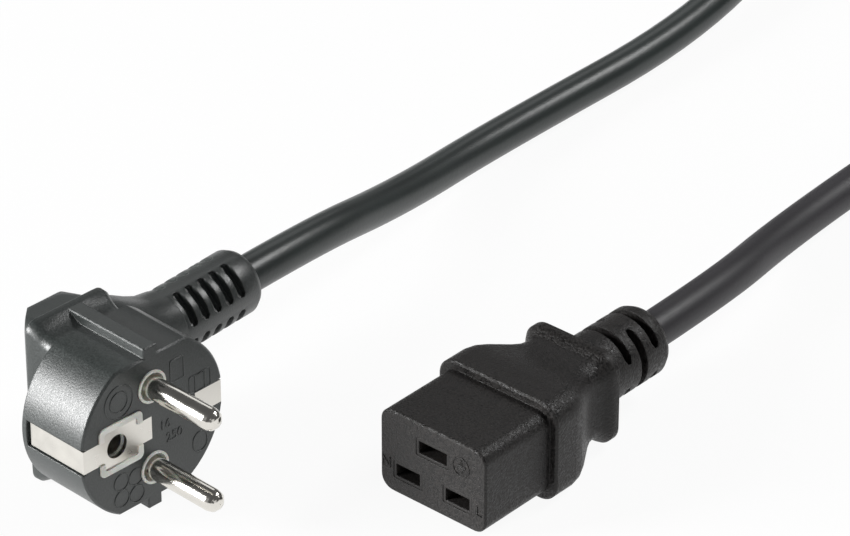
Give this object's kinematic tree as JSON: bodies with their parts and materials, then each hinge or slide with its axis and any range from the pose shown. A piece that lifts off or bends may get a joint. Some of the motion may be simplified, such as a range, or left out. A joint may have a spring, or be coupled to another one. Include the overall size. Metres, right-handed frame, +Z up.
{
  "type": "appliance connector lead",
  "caption": "Mains lead with a moulded 16 A flat-contact appliance connector, an angled earthed two-pin plug, slotted strain reliefs and its spare cord coiled.",
  "frame": {"origin": "under the middle of the connector, on the surface that the lead lies on", "axes": "+Z up; the connector lies along Y with its engagement face towards -Y and its cord towards +Y; +X is to the right of someone who looks at the engagement face"},
  "size_m": [0.1222, 0.398, 0.0376],
  "materials": {
    "connector_pvc": "moulded PVC, near black, fine spark grain",
    "carrier_resin": "moulded polyamide, black",
    "contact_brass": "stamped brass, bright",
    "core_earth": "green and yellow PVC insulation",
    "core_line": "brown PVC insulation",
    "core_neutral": "blue PVC insulation",
    "cord_pvc": "extruded PVC sheath, black, satin",
    "plug_pvc": "moulded PVC, dark grey, fine grain",
    "bridge_nylon": "moulded polyamide, natural white",
    "pin_nickel": "nickel-plated brass, polished",
    "strap_nickel": "nickel-plated sheet, stamped and bent",
    "tie_strap": "woven hook-and-loop strap, black"
  },
  "bodies": {
    "root": {"connector_overmould": "connector_pvc", "contact_carrier": "carrier_resin", "earth_contact": "contact_brass", "line_contact": "contact_brass", "neutral_contact": "contact_brass", "connector_earth_core": "core_earth", "connector_line_core": "core_line", "connector_neutral_core": "core_neutral", "plug_overmould": "plug_pvc", "plug_bridge": "bridge_nylon", "line_pin": "pin_nickel", "neutral_pin": "pin_nickel", "earth_strap": "strap_nickel", "earth_socket": "strap_nickel", "plug_earth_core": "core_earth", "plug_line_core": "core_line", "plug_neutral_core": "core_neutral", "cord_connector_run": "cord_pvc", "cord_coil": "cord_pvc", "cord_plug_run": "cord_pvc", "cord_tie": "tie_strap"}
  },
  "joints": []
}
